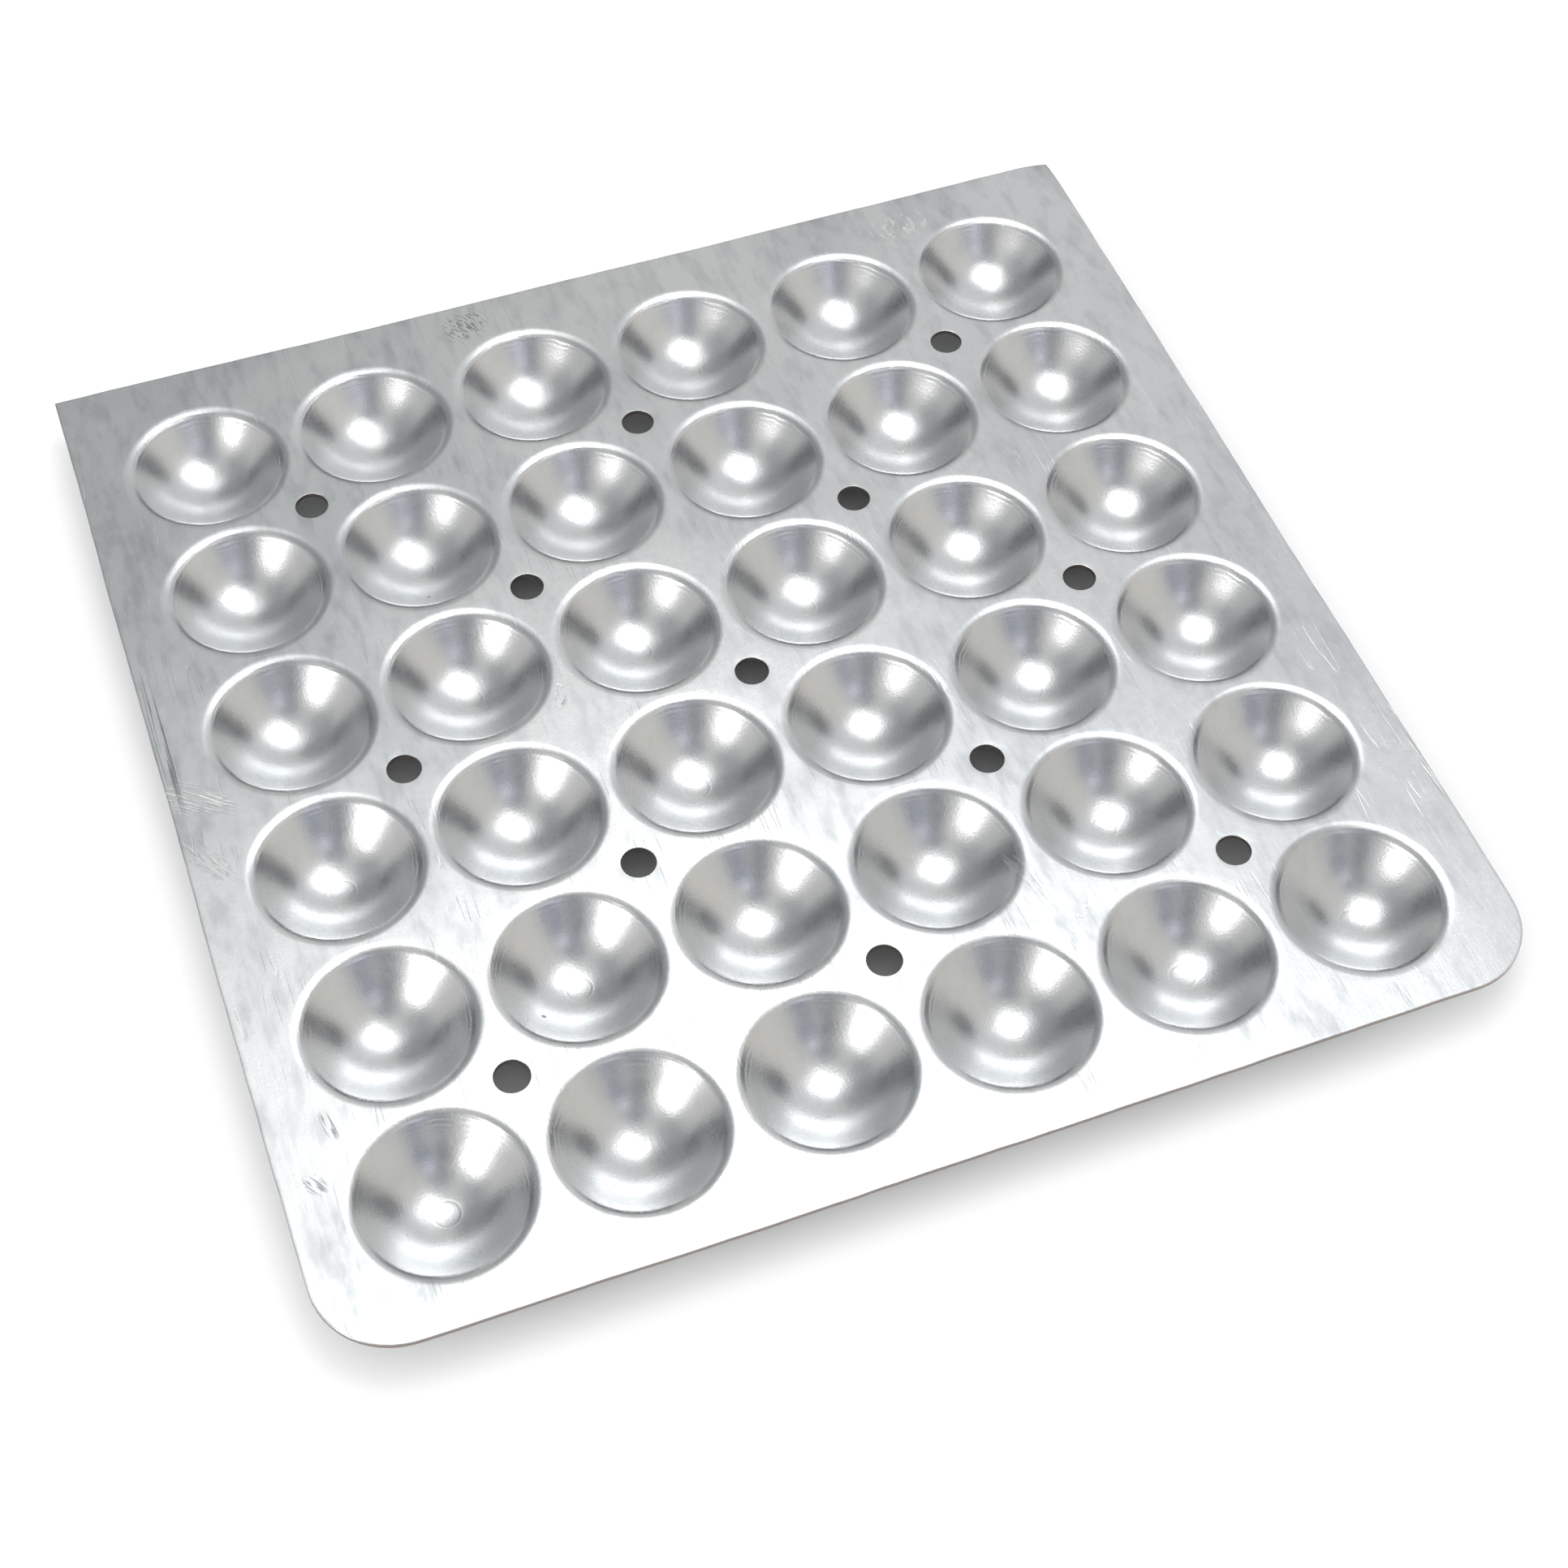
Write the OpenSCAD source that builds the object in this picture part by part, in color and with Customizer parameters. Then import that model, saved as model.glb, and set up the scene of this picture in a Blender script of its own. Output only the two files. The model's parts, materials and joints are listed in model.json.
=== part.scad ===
// Pill counting tray: one pressed aluminium sheet with a square grid of dished
// wells and a chequered set of punched holes between them.
// +Z is up, the near edge faces -Y, and the tray stands on the wells' rounded ends.

/* [Sheet] */
// Width of the sheet, left to right
sheet_w = 165.1; // [160:0.1:200]
// Depth of the sheet, near edge to far edge
sheet_d = 165.1; // [162:0.1:200]
// Thickness of the sheet
sheet_t = 0.8; // [0.5:0.05:1.2]
// Radius of the two near corners; the far corners are left square
near_corner_r = 11; // [4:0.5:14]
// How far the wells sit nearer to the near edge than to the far edge
grid_shift = 2.54; // [0:0.01:3]

/* [Wells] */
// Wells along each side of the grid
wells_n = 6; // [2:1:6]
// Distance between neighbouring wells, centre to centre
pitch = 25.4; // [25.2:0.1:26]
// Radius at which the flat top turns down into a well
mouth_r = 12.4; // [11.5:0.1:12.5]
// Depth of a well, from the flat top to the lowest point of its hollow
well_depth = 6.35; // [5:0.05:7.5]
// Radius of the rolled edge of a well, on the top face
shoulder_r = 2.6; // [1.5:0.1:3]
// Radius of the rounded end of a well, inside the hollow
well_end_r = 11.6; // [8:0.1:12]

/* [Holes] */
// Diameter of the punched holes
hole_d = 4.76; // [3:0.01:6]

/* [Hidden] */
$fn = 72;

// Tangent line between the rolled edge and the rounded end: its slope follows
// from the depth, because both arcs have to meet the line smoothly.
arc_sum = shoulder_r + well_end_r;
arc_rise = arc_sum - well_depth;
flank_angle = asin(arc_sum / norm([mouth_r, arc_rise])) - atan2(arc_rise, mouth_r);

// Overall height: the hollow plus the sheet under it. The wells' ends rest on z = 0.
top_z = well_depth + sheet_t;
grid_y = -grid_shift / 2;
first = -(wells_n - 1) / 2 * pitch;
last = wells_n - 1;
overshoot = 1;
// How far each well's flat rim reaches into the web round it, so that they are one sheet
lap = 0.3;

// Centre of a well; a half column or row is a place between wells
function spot(column, row) = [first + column * pitch, grid_y + first + row * pitch];

// Outline of the flat sheet, rounded at the near corners only
module sheet_outline() {
    half_w = sheet_w / 2;
    half_d = sheet_d / 2;
    corner_x = half_w - near_corner_r;
    translate([-half_w, near_corner_r - half_d])
        square([sheet_w, sheet_d - near_corner_r]);
    translate([-corner_x, -half_d])
        square([2 * corner_x, near_corner_r + overshoot]);
    for (side = [-1, 1])
        translate([side * corner_x, near_corner_r - half_d])
            circle(near_corner_r);
}

// Half section of the space above a surface that lies "below" under the top
// face of a well: 0 is the top face itself and sheet_t is the underside.
module well_space(below) {
    end_r = well_end_r + below;
    roll_r = shoulder_r - below;
    end_z = well_end_r - well_depth;
    end_point = [end_r * sin(flank_angle), end_z - end_r * cos(flank_angle)];
    roll_point = [mouth_r - roll_r * sin(flank_angle), roll_r * cos(flank_angle) - shoulder_r];
    // rounded end
    intersection() {
        translate([0, end_z]) circle(end_r);
        translate([0, -2 * end_r]) square([end_r, 2 * end_r]);
    }
    // straight flank
    polygon([[0, 0], [0, end_z - end_r * cos(flank_angle)], end_point, roll_point, [roll_point.x, 0]]);
    // rolled edge
    difference() {
        translate([roll_point.x, roll_point.y]) square([mouth_r - roll_point.x, -roll_point.y]);
        translate([mouth_r, -shoulder_r]) circle(roll_r);
    }
    // flat rim
    if (below > 0)
        translate([mouth_r - lap, -below]) square([2 * lap, below]);
}

// One dished well, with its mouth in the plane z = 0
module well() {
    rotate_extrude() difference() {
        well_space(sheet_t);
        well_space(0);
    }
}

// Flat web of the sheet, open at every well and punched between them
module web() {
    linear_extrude(sheet_t) difference() {
        sheet_outline();
        for (column = [0 : last], row = [0 : last])
            translate(spot(column, row)) circle(mouth_r);
        for (column = [0 : last - 1], row = [0 : last - 1])
            if ((column + row) % 2 == 0)
                translate(spot(column + 0.5, row + 0.5)) circle(d = hole_d);
    }
}

// The whole pressing: one continuous sheet, whose wells run into the web at their mouths
module tray() {
    color("#c4c7c9") union() {
        translate([0, 0, well_depth]) web();
        for (column = [0 : last], row = [0 : last])
            translate([each spot(column, row), top_z]) well();
    }
}

tray();
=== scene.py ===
# %% [markdown]
# # Pill counting tray
# The tray is one square of aluminium sheet. A press has drawn six rows of six round wells into it, and a
# punch has made thirteen round holes between the wells. Two corners are cut round and two are left square.
# Nothing is fastened to it and nothing moves, so the whole lesson is about one thin skin of metal: how it
# bends into the wells, how thick it is at its edges, and how a worn satin surface catches the light.

# %% Start from the frame
import json
import math
import bpy
from mathutils import Matrix, Vector, noise


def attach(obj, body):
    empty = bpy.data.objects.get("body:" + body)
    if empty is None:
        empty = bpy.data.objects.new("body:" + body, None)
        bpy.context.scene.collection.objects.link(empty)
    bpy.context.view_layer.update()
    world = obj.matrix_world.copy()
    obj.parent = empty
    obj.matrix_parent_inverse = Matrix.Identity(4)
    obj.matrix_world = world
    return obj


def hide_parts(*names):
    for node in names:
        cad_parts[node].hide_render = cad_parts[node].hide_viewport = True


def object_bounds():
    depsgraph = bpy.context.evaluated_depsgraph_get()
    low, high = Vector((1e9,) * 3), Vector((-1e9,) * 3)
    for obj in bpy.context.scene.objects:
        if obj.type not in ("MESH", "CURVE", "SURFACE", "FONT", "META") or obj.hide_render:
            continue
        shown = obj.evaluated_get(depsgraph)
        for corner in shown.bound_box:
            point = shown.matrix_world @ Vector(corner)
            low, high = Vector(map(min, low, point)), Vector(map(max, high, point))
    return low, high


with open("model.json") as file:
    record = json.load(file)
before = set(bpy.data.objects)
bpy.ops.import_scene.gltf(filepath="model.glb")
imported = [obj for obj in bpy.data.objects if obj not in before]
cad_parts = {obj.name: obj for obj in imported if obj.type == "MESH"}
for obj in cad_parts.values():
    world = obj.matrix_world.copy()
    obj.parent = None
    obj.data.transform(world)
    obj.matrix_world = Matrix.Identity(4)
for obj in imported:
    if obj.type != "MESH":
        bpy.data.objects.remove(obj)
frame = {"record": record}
cad_low, cad_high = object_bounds()
print("CAD box, mm:", [round(1000 * v, 2) for v in cad_high - cad_low])

# %% [markdown]
# ## Measures
# The record that comes with the frame says where the punched holes are and how big they are. The wells
# sit on the same grid: four pitches lie between the outer holes. Everything else about a well, such as
# how softly its mouth rolls over, is a design value in millimetres. Keeping the measures together, in
# words a press shop would use, means that one change here moves every part of the sheet with it.

# %% Measures of the sheet, in metres
MM = 0.001
mounts = {m["name"]: m for m in frame["record"]["mounts"]}
pitch = mounts["corner_holes"]["dims"]["spacing_x_mm"] * MM / 4
hole_r = mounts["centre_hole"]["dims"]["r_mm"] * MM
sheet_t = mounts["centre_hole"]["dims"]["length_mm"] * MM
grid_y = mounts["centre_hole"]["pos_m"][1]
top_z = cad_high.z
half_w = cad_high.x
half_d = cad_high.y

WELLS = 6
MOUTH_R = 12.4 * MM
SHOULDER_R = 2.6 * MM
END_R = 11.6 * MM
CORNER_R = 11.0 * MM
well_depth = top_z - sheet_t
field = pitch * WELLS / 2

arc_sum = SHOULDER_R + END_R
flank = math.asin(arc_sum / math.hypot(MOUTH_R, arc_sum - well_depth)) - math.atan2(arc_sum - well_depth, MOUTH_R)
print(f"pitch {pitch / MM:.2f} mm, well depth {well_depth / MM:.2f} mm, flank {math.degrees(flank):.1f} degrees")

# %% [markdown]
# ## A well's profile
# Half a section through a well is two arcs with a straight line between them: the mouth rolls over, the
# flank runs straight down, and the end is part of a ball. The list below walks down that line and gives
# a radius and a drop for each ring of the mesh. The arcs get rings at even angles, because a mirror-like
# surface shows every change of slope, and the straight flank needs only a few.

# %% Rings of the profile, from the mouth to the bottom
def profile():
    rings = []
    for step in range(1, 7):
        a = flank * step / 6
        rings.append((MOUTH_R - SHOULDER_R * math.sin(a), -SHOULDER_R * (1 - math.cos(a))))
    flank_top = rings[-1]
    end_r = END_R * math.sin(flank)
    end_z = END_R * (1 - math.cos(flank)) - well_depth
    for step in (1, 2):
        t = step / 3
        rings.append((flank_top[0] + (end_r - flank_top[0]) * t, flank_top[1] + (end_z - flank_top[1]) * t))
    for step in range(5):
        a = flank * (1 - step / 5)
        rings.append((END_R * math.sin(a), END_R * (1 - math.cos(a)) - well_depth))
    return rings


print(len(profile()), "rings down each well")

# %% [markdown]
# ## Small helpers
# Operators act on whatever is selected, and loading the frame leaves its own parts selected. These
# helpers clear the selection, pick one object, and run a few lines in edit mode on it.

# %% Selecting and merging
def only(obj):
    if bpy.context.mode != "OBJECT":
        bpy.ops.object.mode_set(mode="OBJECT")
    bpy.ops.object.select_all(action="DESELECT")
    obj.select_set(True)
    bpy.context.view_layer.objects.active = obj


def pick(obj, test):
    """Selects the vertices that pass the test, and the edges and faces between them."""
    bpy.ops.object.mode_set(mode="EDIT")
    bpy.ops.mesh.select_mode(type="VERT")
    bpy.ops.mesh.select_all(action="DESELECT")
    bpy.ops.object.mode_set(mode="OBJECT")
    for v in obj.data.vertices:
        v.select = bool(test(v))
    bpy.ops.object.mode_set(mode="EDIT")


def place_picked(obj, where):
    """Moves each picked vertex to where(its old place)."""
    bpy.ops.object.mode_set(mode="OBJECT")
    for v in obj.data.vertices:
        if v.select:
            v.co = where(v.co.copy())
    bpy.ops.object.mode_set(mode="EDIT")


def pick_edges(obj, test):
    """Selects the edges whose two ends pass the test."""
    bpy.ops.object.mode_set(mode="EDIT")
    bpy.ops.mesh.select_mode(type="EDGE")
    bpy.ops.mesh.select_all(action="DESELECT")
    bpy.ops.object.mode_set(mode="OBJECT")
    points = obj.data.vertices
    for e in obj.data.edges:
        e.select = bool(test(points[e.vertices[0]].co, points[e.vertices[1]].co))
    bpy.ops.object.mode_set(mode="EDIT")


# %% [markdown]
# ## The edge of a tile
# The sheet is easiest to build as square tiles, one round each well, that meet edge to edge. Where a
# punched hole sits on the corner of four tiles, each tile has a quarter of its rim. This function gives
# the tile's edge as 64 points, eight to each half side, so that they pair off with the 64 points round
# the mouth. Neighbouring tiles share a side, so both must place its points in the same way.

# %% Sixty-four points round a tile
SIDES = 64
QUARTER = SIDES // 4
ARC_STEPS = 6


def tile_corner(has_hole):
    """Points from the middle of the right side to the middle of the far side, past one corner."""
    a = pitch / 2
    points = []
    straight = (QUARTER - ARC_STEPS) // 2
    for k in range(QUARTER):
        if not has_hole:
            points.append((a, a * k / 8) if k <= 8 else (a * (QUARTER - k) / 8, a))
        elif k < straight:
            points.append((a, (a - hole_r) * k / straight))
        elif k <= straight + ARC_STEPS:
            turn = -math.pi / 2 * (1 + (k - straight) / ARC_STEPS)
            points.append((a + hole_r * math.cos(turn), a + hole_r * math.sin(turn)))
        else:
            points.append(((a - hole_r) * (QUARTER - k) / straight, a))
    return points


def tile_edge(holes):
    points = []
    for turn, has_hole in enumerate(holes):
        spin = Matrix.Rotation(turn * math.pi / 2, 2)
        points += [spin @ Vector(p) for p in tile_corner(has_hole)]
    return points


# %% [markdown]
# ## One well and its tile
# The mouth starts as a circle on the face of the sheet. Extruding and shrinking it ring by ring draws
# the metal down, just as stretching a line of rings by hand would, and the last small ring is merged to
# close the bottom. Extruding the mouth outwards to the tile's edge gives the flat metal round it, and
# subdividing that band gives it enough rings to stay smooth. Corners are told apart by a pattern of four
# yes-or-no answers, so each kind of tile is modelled once and then copied.

# %% Model a tile
def model_tile(holes):
    bpy.ops.object.select_all(action="DESELECT")
    bpy.ops.mesh.primitive_circle_add(vertices=SIDES, radius=MOUTH_R, location=(0, 0, 0))
    tile = bpy.context.object
    turn = Matrix.Rotation(-math.atan2(tile.data.vertices[0].co.y, tile.data.vertices[0].co.x), 4, "Z")
    tile.data.transform(turn)
    only(tile)
    bpy.ops.object.mode_set(mode="EDIT")
    bpy.ops.mesh.select_all(action="SELECT")
    last_r, last_z = MOUTH_R, 0.0
    for r, z in profile():
        bpy.ops.mesh.extrude_region_move(TRANSFORM_OT_translate={"value": (0, 0, z - last_z)})
        bpy.ops.transform.resize(value=(r / last_r, r / last_r, 1), center_override=(0, 0, z))
        last_r, last_z = r, z
    bpy.ops.mesh.extrude_region_move(TRANSFORM_OT_translate={"value": (0, 0, -well_depth - last_z)})
    bpy.ops.mesh.merge(type="CENTER")
    pick(tile, lambda v: abs(v.co.xy.length - MOUTH_R) < 0.001 * MM)
    bpy.ops.mesh.extrude_region_move(TRANSFORM_OT_translate={"value": (0, 0, 0)})
    edge = tile_edge(holes)

    def beside(co):
        k = round(math.atan2(co.y, co.x) / (2 * math.pi) * SIDES) % SIDES
        return Vector((*edge[k], 0))

    place_picked(tile, beside)
    beyond_mouth = MOUTH_R + 0.01 * MM
    pick_edges(tile, lambda p, q: (p.xy.length > beyond_mouth) != (q.xy.length > beyond_mouth))
    bpy.ops.mesh.subdivide_edgering(number_cuts=2, interpolation="LINEAR", smoothness=0)
    bpy.ops.object.mode_set(mode="OBJECT")
    return tile


plain_tile = model_tile((True, False, True, False))
print("a tile has", len(plain_tile.data.polygons), "faces")
bpy.data.objects.remove(plain_tile)

# %% [markdown]
# ## The grid of wells
# A hole sits on every second crossing of the grid, like the black squares of a chessboard, and never on
# the outside of the grid. Each tile asks that question for its own four corners. Tiles with the same
# answers are copies, each with its own mesh, so that small differences can be given to them later. Joining
# them and merging the doubled points along their sides turns thirty-six tiles into one skin.

# %% Lay out the tiles and join them
def tile_holes(column, row):
    answers = []
    for right, far in ((1, 1), (0, 1), (0, 0), (1, 0)):
        a, b = column + right - 1, row + far - 1
        inside = 0 <= a < WELLS - 1 and 0 <= b < WELLS - 1
        answers.append(inside and (a + b) % 2 == 0)
    return tuple(answers)


masters = {}
tiles = []
for row in range(WELLS):
    for column in range(WELLS):
        holes = tile_holes(column, row)
        if holes not in masters:
            masters[holes] = model_tile(holes)
        tile = masters[holes].copy()
        tile.data = masters[holes].data.copy()
        x = (column - (WELLS - 1) / 2) * pitch
        y = (row - (WELLS - 1) / 2) * pitch + grid_y
        depth = 1 - 0.012 * (0.5 + 0.5 * noise.noise(Vector((3.7 * column, 2.3 * row, 1.1))))
        tile.data.transform(Matrix.Translation((x, y, top_z)) @ Matrix.Diagonal((1, 1, depth, 1)))
        bpy.context.collection.objects.link(tile)
        tiles.append(tile)
for master in masters.values():
    bpy.data.objects.remove(master)

only(tiles[0])
for tile in tiles:
    tile.select_set(True)
bpy.ops.object.join()
skin = bpy.context.object
skin.name = "pressed_sheet"
bpy.ops.object.mode_set(mode="EDIT")
bpy.ops.mesh.select_all(action="SELECT")
bpy.ops.mesh.remove_doubles(threshold=0.01 * MM)
bpy.ops.object.mode_set(mode="OBJECT")
print(len(masters), "kinds of tile,", len(skin.data.vertices), "points in the grid")

# %% [markdown]
# ## The margin
# Outside the grid the sheet is a plain border with two rounded corners. Each point on the square edge of
# the grid is sent to its own place on the outline: straight across on the sides, and round the arc at the
# near corners. The border is drawn out in two steps, and the second, narrow one keeps the roll of the cut
# edge from spreading over the flat. A sheared edge is never dead straight, so a slow wander of a fifth of
# a millimetre, always inwards, is added to it.

# %% Draw the border out to the outline
EDGE_BAND = 0.45 * MM
WANDER = 0.22 * MM


def wander(p):
    slow = noise.noise(Vector((p.x * 45, p.y * 45, 0.3)))
    quick = noise.noise(Vector((p.x * 240, p.y * 240, 5.1)))
    return WANDER * max(0.0, min(1.0, 0.5 + 0.8 * slow + 0.35 * quick))


def outline(p, inset):
    w, near, far = half_w - inset, -half_d + inset, half_d - inset
    u, v = p.x / field, (p.y - grid_y) / field
    x, y = u * w, (near + far) / 2 + v * (far - near) / 2
    r = CORNER_R - inset
    side = 1 if x > 0 else -1
    centre = Vector((side * (w - r), near + r))
    if y < near + r and abs(x) > w - r:
        on_near_side = v < -0.9999
        along = (abs(x) - (w - r)) if on_near_side else (near + r - y)
        a = along / r * math.pi / 4
        step = (side * math.sin(a), -math.cos(a)) if on_near_side else (side * math.cos(a), -math.sin(a))
        x, y = centre + r * Vector(step)
    return Vector((x, y, top_z))


def reach(co):
    """How far a point lies from the middle of the grid, measured squarely."""
    return max(abs(co.x), abs(co.y - grid_y))


def on_rim(co):
    return abs(reach(co) - field) < 0.01 * MM


starts = {}


def to_band(co):
    end = outline(co, EDGE_BAND + wander(co))
    starts[tuple(round(c, 7) for c in end)] = co
    return end


def to_edge(co):
    start = starts[tuple(round(c, 7) for c in co)]
    return outline(start, wander(start))


pick(skin, lambda v: on_rim(v.co))
bpy.ops.mesh.extrude_region_move(TRANSFORM_OT_translate={"value": (0, 0, 0)})
place_picked(skin, to_band)
bpy.ops.mesh.extrude_region_move(TRANSFORM_OT_translate={"value": (0, 0, 0)})
place_picked(skin, to_edge)
bpy.ops.object.mode_set(mode="OBJECT")
print(len(starts), "points round the outline")

# %% [markdown]
# ## Rings across the border
# The border is still one wide strip. The edges that cross it are picked by their ends, one on the rim of
# the grid and one beyond it, and each is cut into four. The strip can then follow the slight bow of the
# sheet, and the light runs smoothly over it beside the outer wells.

# %% Cut rings into the border
beyond_rim = field + 0.1 * MM
pick_edges(skin, lambda p, q: on_rim(p) != on_rim(q) and max(reach(p), reach(q)) > beyond_rim)
bpy.ops.mesh.subdivide_edgering(number_cuts=3, interpolation="LINEAR", smoothness=0)
bpy.ops.mesh.select_mode(type="VERT")
bpy.ops.object.mode_set(mode="OBJECT")
print(len(skin.data.polygons), "faces in the skin")

# %% [markdown]
# ## Handling marks in the shape
# A sheet that has been pressed full of wells never lies quite flat. This one is bowed by a few tenths of
# a millimetre, so that its left and right edges stand a little proud, and its far right corner has been
# knocked down. The shift fades to nothing at the bottom of the wells, which still stand on the table.

# %% Bow the sheet and knock one corner down
BOW = 0.40 * MM
RIPPLE = 0.05 * MM
TIP_REACH = 6.0 * MM
TIP_DROP = 0.7 * MM


def settle(co):
    high = (co.z - sheet_t) / (top_z - sheet_t)
    drop = BOW * (1 - (co.x / half_w) ** 2)
    drop += RIPPLE * (0.5 + 0.5 * noise.noise(Vector((co.x * 38, co.y * 38, 2.2))))
    from_tip = math.hypot(half_w - co.x, half_d - co.y)
    if from_tip < TIP_REACH:
        drop += TIP_DROP * (1 - from_tip / TIP_REACH) ** 2
    return Vector((co.x, co.y, co.z - drop * high))


only(skin)
pick(skin, lambda v: True)
place_picked(skin, settle)
bpy.ops.mesh.normals_make_consistent(inside=False)
bpy.ops.object.mode_set(mode="OBJECT")
if sum(f.normal.z * f.area for f in skin.data.polygons) < 0:
    bpy.ops.object.mode_set(mode="EDIT")
    bpy.ops.mesh.flip_normals()
    bpy.ops.object.mode_set(mode="OBJECT")
print("the middle of the sheet sits", BOW / MM, "mm lower than its sides")

# %% [markdown]
# ## Thickness
# Everything so far is the top face alone. Solidify gives it the thickness of the sheet, downwards, and
# closes the cut edges and the walls of the punched holes. A narrow Bevel then rounds every sharp arris a
# little, because a cut edge that has been handled is never knife sharp and always shows a thin bright or
# dark line. Both modifiers are applied, and faces that meet gently are shaded as one smooth surface.

# %% Give the skin its thickness and soften the arrises
ARRIS = 0.12 * MM
only(skin)
thick = skin.modifiers.new("thickness", "SOLIDIFY")
thick.thickness = sheet_t
thick.offset = -1
thick.use_even_offset = True
thick.use_quality_normals = True
bpy.ops.object.modifier_apply(modifier=thick.name)
soft = skin.modifiers.new("arris", "BEVEL")
soft.width = ARRIS
soft.segments = 2
soft.limit_method = "ANGLE"
soft.angle_limit = math.radians(55)
bpy.ops.object.modifier_apply(modifier=soft.name)
bpy.ops.object.shade_smooth_by_angle(angle=math.radians(50))
level_faces = skin.modifiers.new("level faces", "WEIGHTED_NORMAL")
level_faces.mode = "FACE_AREA"
level_faces.weight = 50
level_faces.keep_sharp = True
bpy.ops.object.modifier_apply(modifier=level_faces.name)
triangles = sum(len(f.vertices) - 2 for f in skin.data.polygons)
lowest = min(v.co.z for v in skin.data.vertices)
print(f"{triangles} triangles, lowest point {lowest / MM:.3f} mm")

tray = skin
tray.name = "pressed_tray"
tray.data.name = "pressed_tray"
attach(tray, "root")
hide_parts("tray")

# %% [markdown]
# ## The satin finish
# Rolled aluminium is soft and has been touched for years. Its look comes from many shallow marks rather
# than from colour: rolling streaks along the sheet, a fine grain, rings where the draw ring held the metal,
# hairline scratches and a few dark nicks. All of them are written as formulas of the place on the sheet in
# millimetres. The wells repeat, so a second set of coordinates starts again at the centre of every well.

# %% Small helpers for node trees
def node(tree, kind, inputs=None, **options):
    """Adds a node, sets its options, and plugs sockets or values into its inputs."""
    new = tree.nodes.new("ShaderNode" + kind)
    for name, value in options.items():
        setattr(new, name, value)
    for key, value in (inputs or {}).items():
        if isinstance(value, bpy.types.NodeSocket):
            tree.links.new(value, new.inputs[key])
        else:
            new.inputs[key].default_value = value
    return new


def calc(tree, operation, a, b=0.0):
    return node(tree, "Math", {0: a, 1: b}, operation=operation).outputs[0]


def total(tree, *values):
    result = values[0]
    for value in values[1:]:
        result = calc(tree, "ADD", result, value)
    return result


def product(tree, *values):
    result = values[0]
    for value in values[1:]:
        result = calc(tree, "MULTIPLY", result, value)
    return result


def fade(tree, value, start, end, low=0.0, high=1.0):
    """Goes smoothly from low to high while the value goes from start to end."""
    inputs = {0: value, 1: start, 2: end, 3: low, 4: high}
    return node(tree, "MapRange", inputs, interpolation_type="SMOOTHSTEP").outputs[0]


def band(tree, value, centre, half_width):
    """One at the centre, falling smoothly to nothing at half_width on both sides."""
    away = calc(tree, "ABSOLUTE", calc(tree, "SUBTRACT", value, centre))
    return fade(tree, away, half_width, 0.0)


def grain(tree, place, scale, detail=2.0, stretch=(1, 1, 1), turn=0.0):
    mapping = node(tree, "Mapping", {"Vector": place, "Scale": stretch, "Rotation": (0, 0, turn)})
    inputs = {"Vector": mapping.outputs[0], "Scale": scale, "Detail": detail}
    return node(tree, "TexNoise", inputs).outputs[0]


def blend(tree, amount, a, b):
    return node(tree, "Mix", {0: amount, 6: a, 7: b}, data_type="RGBA").outputs[2]


# %% [markdown]
# The coordinates come first. The place on the sheet is in millimetres, and the place in a well is found by
# wrapping the sheet round one pitch, so that it is zero at every well's centre. From these come the radius
# in the well, a mask for the metal that has been stretched, and a number that differs from well to well.

# %% Coordinates of the finish
metal = bpy.data.materials.new("worn satin aluminium")
metal.use_nodes = True
tree = metal.node_tree
surface = tree.nodes["Principled BSDF"]
coords = node(tree, "TexCoord")
place = node(tree, "VectorMath", {0: coords.outputs["Object"], "Scale": 1 / MM}, operation="SCALE").outputs[0]
pitch_mm = pitch / MM
half = pitch_mm / 2
from_well = node(tree, "VectorMath", {0: place, 1: (half, half + grid_y / MM, 0)}, operation="SUBTRACT").outputs[0]
wrap_inputs = {0: from_well, 1: (half, half, 99), 2: (-half, -half, -99)}
local = node(tree, "VectorMath", wrap_inputs, operation="WRAP").outputs[0]
cell = node(tree, "VectorMath", {0: from_well, 1: local}, operation="SUBTRACT").outputs[0]
flat = node(tree, "VectorMath", {0: local, 1: (1, 1, 0)}, operation="MULTIPLY").outputs[0]
flat_cell = node(tree, "VectorMath", {0: cell, 1: (1, 1, 0)}, operation="MULTIPLY").outputs[0]
radius = node(tree, "VectorMath", {0: flat}, operation="LENGTH").outputs["Value"]
luck = node(tree, "TexWhiteNoise", {"Vector": flat_cell}).outputs["Value"]
xyz = node(tree, "SeparateXYZ", {0: place})
centred_y = calc(tree, "SUBTRACT", xyz.outputs["Y"], grid_y / MM)
sideways = calc(tree, "MAXIMUM", calc(tree, "ABSOLUTE", xyz.outputs["X"]), calc(tree, "ABSOLUTE", centred_y))
in_grid = calc(tree, "LESS_THAN", sideways, field / MM)
drawn = product(tree, fade(tree, radius, 12.2, 10.4), in_grid)
normal = node(tree, "SeparateXYZ", {0: coords.outputs["Normal"]})
upright = calc(tree, "ABSOLUTE", normal.outputs["Z"])
cut_edge = fade(tree, upright, 0.62, 0.38)
print(len(tree.nodes), "nodes for the coordinates")

# %% [markdown]
# Next the heights. Each mark is a height in millimetres, and the heights are added into one bump. The
# grain and the streaks cover everything. The draw rings sit low on the flank, where the ring of the tool
# pressed, and a small circle at the bottom of some wells is the print of the punch's flat nose. Scratches
# are the thin places where a stretched noise passes through its middle value, broken up by a second noise.

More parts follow.
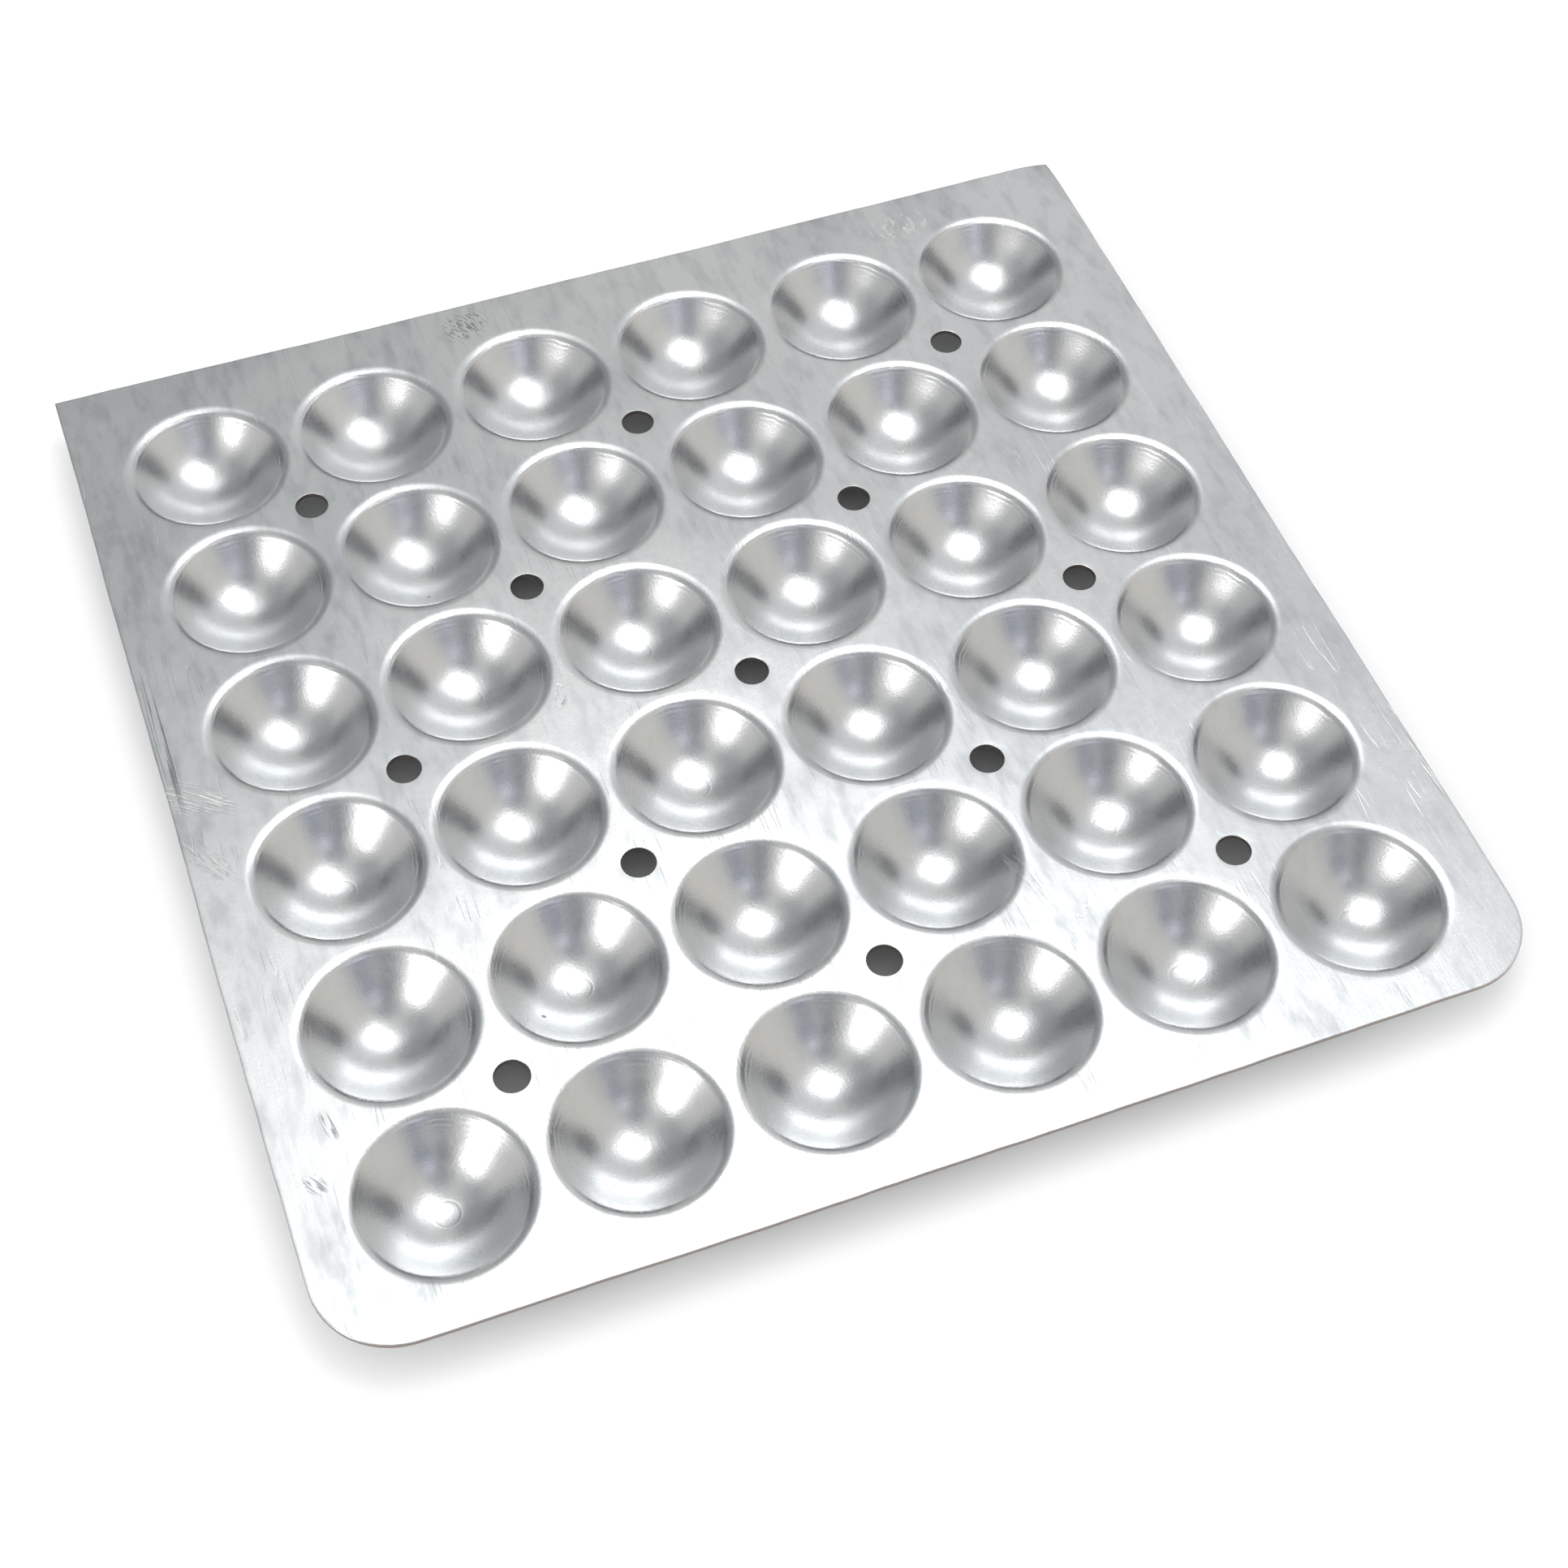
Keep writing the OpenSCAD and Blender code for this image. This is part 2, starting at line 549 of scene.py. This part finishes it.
# %% Heights of the marks
warp = grain(tree, place, 0.05, 1.0)
peel = product(tree, grain(tree, place, 3.0, 2.0), total(tree, product(tree, drawn, 0.008), 0.006))
dimples = product(tree, grain(tree, place, 0.8, 2.0), 0.006)
streaks = product(tree, grain(tree, place, 1.0, 3.0, (2.6, 0.10, 0.1), 0.02), 0.007)
slow = product(tree, grain(tree, place, 0.075, 1.5), 0.10)
ring_wave = calc(tree, "SINE", total(tree, product(tree, radius, 11.0), product(tree, grain(tree, place, 0.4), 6.0)))
ring_mask = product(tree, band(tree, radius, 10.7, 1.3), fade(tree, grain(tree, place, 0.22), 0.38, 0.56))
draw_rings = product(tree, ring_wave, ring_mask, in_grid, 0.007)
punch_print = product(tree, band(tree, radius, 1.8, 0.32), calc(tree, "GREATER_THAN", luck, 0.6), in_grid, 0.010)


def scratches(scale, stretch, turn, width, cover):
    line = band(tree, grain(tree, place, scale, 1.0, stretch, turn), 0.5, width)
    broken = fade(tree, grain(tree, place, 0.11, 2.0, (1, 1, 1), turn), cover, cover + 0.07)
    return product(tree, line, broken)


hairline_a = scratches(0.16, (3.4, 0.16, 1), 0.5, 0.012, 0.56)
hairline_b = scratches(0.14, (3.0, 0.20, 1), -0.9, 0.010, 0.57)
on_flat = calc(tree, "SUBTRACT", 1.0, drawn)
mostly_flat = total(tree, product(tree, on_flat, 0.85), 0.15)
hairlines = product(tree, calc(tree, "MAXIMUM", hairline_a, hairline_b), mostly_flat)


def mark(x, y, wide, tall, turn, lines):
    """A patch of short scratches that run along its height, in millimetres."""
    inputs = {"Vector": place, "Location": (x, y, 0), "Rotation": (0, 0, turn), "Scale": (wide, tall, 90)}
    there = node(tree, "Mapping", inputs, vector_type="TEXTURE").outputs[0]
    away = node(tree, "VectorMath", {0: there}, operation="LENGTH").outputs["Value"]
    strokes = fade(tree, grain(tree, there, 1.0, 3.0, (lines, lines * 0.16, 1)), 0.53, 0.60)
    return product(tree, fade(tree, away, 1.0, 0.35), strokes)


scuffs = total(tree, mark(-78.5, 3.0, 3.5, 8.0, 0.9, 9.0), mark(-79.5, -7.0, 2.5, 6.0, 0.5, 7.0))
scuffs = total(tree, scuffs, mark(23.0, -46.0, 1.6, 7.0, 0.2, 5.0), mark(54.0, 76.0, 9.0, 4.0, 0.1, 8.0))
nicks = total(tree, mark(-74.3, -51.0, 1.2, 3.0, 0.2, 4.0), mark(-78.0, -58.4, 1.5, 2.2, 0.6, 5.0))
nicks = total(tree, nicks, mark(81.4, -44.0, 1.1, 13.0, 0.05, 2.0), mark(-19.0, 78.0, 5.0, 4.0, 0.5, 15.0))
nicks = total(tree, nicks, mark(-27.0, 3.0, 1.0, 1.3, 0.0, 2.0), mark(-81.0, 14.0, 1.4, 16.0, 0.0, 4.0))
height = total(tree, product(tree, scuffs, -0.03), product(tree, nicks, -0.03))
height = total(tree, height, peel, dimples, streaks, slow, draw_rings, punch_print, product(tree, hairlines, -0.012))
bump = node(tree, "Bump", {"Height": height, "Distance": MM, "Strength": 1.0})
tree.links.new(bump.outputs[0], surface.inputs["Normal"])
print(len(tree.nodes), "nodes with the heights")

# %% [markdown]
# Last the colour and the polish. The stretched metal in the wells is brighter and more polished than the
# flat round them. Years of hands have left the flat slightly duller in slow patches, and there is dirt in the
# nicks. On top of that, a painted shade darkens the flat more and more towards the far left. The cut edges are
# rougher, and their upright faces carry a painted dark brown shade.

# %% Colour and polish
CLEAN = (0.86, 0.875, 0.885, 1)
# The dull colour serves both the worn patches and the painted shade in the far left.
DULL_AND_SHADE = (0.49, 0.515, 0.53, 1)
DIRT = (0.10, 0.10, 0.10, 1)
BARE = (0.96, 0.96, 0.96, 1)
# A dark brown that is painted as shade on the upright edge faces.
CUT_EDGE_SHADE = (0.30, 0.255, 0.23, 1)
patches = fade(tree, grain(tree, place, 0.045, 4.0, (1.0, 0.55, 1), 0.3), 0.40, 0.68)
fine_patches = fade(tree, grain(tree, place, 0.5, 4.0, (1.0, 0.35, 1)), 0.42, 0.75)
# Painted shade: the flat is coloured darker and darker towards its far left corner.
painted_far_left_shade = fade(tree, total(tree, xyz.outputs["Y"], product(tree, xyz.outputs["X"], -1.0)), 20.0, 150.0)
wear_and_painted_shade = total(tree, product(tree, patches, 0.40), product(tree, fine_patches, 0.45), product(tree, painted_far_left_shade, 0.30))
wear_and_shade_here = product(tree, wear_and_painted_shade, total(tree, product(tree, on_flat, 0.75), 0.25))
colour = blend(tree, wear_and_shade_here, CLEAN, DULL_AND_SHADE)

speck_cells = node(tree, "TexVoronoi", {"Vector": place, "Scale": 0.11})
speck_size = fade(tree, grain(tree, place, 0.06), 0.50, 0.75, 0.0, 0.04)
specks = calc(tree, "LESS_THAN", speck_cells.outputs["Distance"], speck_size)
colour = blend(tree, product(tree, specks, 0.8), colour, DIRT)
colour = blend(tree, product(tree, hairlines, 0.2), colour, BARE)
colour = blend(tree, product(tree, scuffs, 0.75), colour, BARE)
colour = blend(tree, product(tree, nicks, 0.55), colour, DIRT)
# Painted shade: every upright face, the cut edges and the walls of the holes, is coloured dark brown.
colour = blend(tree, cut_edge, colour, CUT_EDGE_SHADE)
tree.links.new(colour, surface.inputs["Base Color"])

polish = total(tree, 0.225, product(tree, drawn, 0.01), product(tree, wear_and_shade_here, 0.10))
polish = total(tree, polish, product(tree, grain(tree, place, 0.9, 3.0), 0.08), product(tree, cut_edge, 0.2))
tree.links.new(polish, surface.inputs["Roughness"])
surface.inputs["Metallic"].default_value = 1.0
tray.data.materials.clear()
tray.data.materials.append(metal)
print(len(tree.nodes), "nodes in the finish")

# %% [markdown]
# ## Table, light and room
# A mirror-like object is a picture of its room, so the room matters as much as the metal. A square softbox
# hangs just over the tray and makes the bright spot in every well. A second soft light stands to the left
# and puts a lit wedge on the opposite flank of each well. The rest of the room is a pale dome with a few
# darker areas: the person at the camera, a dark wall behind the tray and a doorway on the right. Only the
# reflections see those darker areas, and the table is lit by an even pale sky.

# %% Table
bpy.ops.object.select_all(action="DESELECT")
bpy.ops.mesh.primitive_plane_add(size=6.0, location=(0, 0, 0))
table = bpy.context.object
table.name = "table"
paper = bpy.data.materials.new("white paper")
paper.use_nodes = True
paper.node_tree.nodes["Principled BSDF"].inputs["Base Color"].default_value = (0.76, 0.76, 0.76, 1)
paper.node_tree.nodes["Principled BSDF"].inputs["Roughness"].default_value = 0.9
paper.node_tree.nodes["Principled BSDF"].inputs["Specular IOR Level"].default_value = 0.1
table.data.materials.append(paper)
print("table at z =", table.location.z)


# %% Lights
def softbox(name, place, size, radiance, tint, aim=(0, 0, 0)):
    light = bpy.data.lights.new(name, "AREA")
    light.shape = "SQUARE"
    light.size = size
    light.energy = radiance * math.pi * size * size
    light.color = tint
    box = bpy.data.objects.new(name, light)
    bpy.context.collection.objects.link(box)
    box.location = place
    box.rotation_euler = (Vector(aim) - Vector(place)).to_track_quat("-Z", "Y").to_euler()
    box.visible_camera = False
    return box


softbox("overhead", (0.10, 0.103, 0.54), 0.31, 2.05, (1, 1, 1))
softbox("left", (-0.66, -0.29, 0.46), 0.36, 2.6, (1, 0.99, 0.96))

# %% The room
room = bpy.data.worlds.new("room")
bpy.context.scene.world = room
room.use_nodes = True
tree = room.node_tree
backdrop = tree.nodes["Background"]
sky = node(tree, "TexCoord").outputs["Generated"]


def area(below, azimuth, zenith, inner, outer, colour):
    """Paints a round patch of the dome; azimuth turns from +X towards +Y, zenith is down from above."""
    a, z = math.radians(azimuth), math.radians(zenith)
    middle = (math.cos(a) * math.sin(z), math.sin(a) * math.sin(z), math.cos(z))
    near = node(tree, "VectorMath", {0: sky, 1: middle}, operation="DOT_PRODUCT").outputs["Value"]
    amount = fade(tree, near, math.cos(math.radians(outer)), math.cos(math.radians(inner)))
    return blend(tree, amount, below, (*colour, 1))


dome = (0.52, 0.515, 0.50, 1)
dome = area(dome, 339, 60, 10, 34, (0.58, 0.56, 0.52))
dome = area(dome, 39, 50, 10, 28, (0.60, 0.60, 0.61))
dome = area(dome, 52, 28, 8, 18, (0.46, 0.47, 0.48))
dome = area(dome, 98, 25, 6, 16, (1.15, 1.16, 1.16))
dome = area(dome, 118, 54, 12, 32, (0.22, 0.23, 0.24))
dome = area(dome, 160, 38, 6, 22, (0.28, 0.29, 0.30))
dome = area(dome, 262, 24, 8, 20, (0.20, 0.21, 0.24))
dome = area(dome, 250, 48, 6, 14, (0.10, 0.11, 0.13))
dome = area(dome, 284, 50, 6, 15, (0.15, 0.17, 0.23))
dome = area(dome, 281, 36, 3, 8, (0.95, 0.97, 1.10))
dome = area(dome, 9, 68, 9, 18, (0.08, 0.08, 0.09))
dome = area(dome, 70, 88, 14, 26, (0.05, 0.05, 0.06))
dome = area(dome, 134, 76, 10, 20, (0.07, 0.07, 0.08))
seen_in_metal = node(tree, "LightPath").outputs["Is Glossy Ray"]
tree.links.new(blend(tree, seen_in_metal, (1.32, 1.32, 1.32, 1), dome), backdrop.inputs["Color"])
print(len(tree.nodes), "nodes in the room")

# %% [markdown]
# ## Camera
# The picture is taken close up, from the front and slightly left, looking steeply down, with a short
# telephoto lens and the camera tilted a little to one side.

# %% Camera
camera = bpy.data.cameras.new("camera")
camera.lens = 58.5
eye = bpy.data.objects.new("camera", camera)
bpy.context.collection.objects.link(eye)
eye.location = (-0.0772, -0.2083, 0.2923)
aim = Vector((-0.0008, -0.0168, 0))
level = (aim - eye.location).to_track_quat("-Z", "Y").to_matrix()
eye.rotation_euler = (level @ Matrix.Rotation(math.radians(1.64), 3, "Z")).to_euler()
bpy.context.scene.camera = eye
bpy.context.scene.view_settings.view_transform = "Standard"
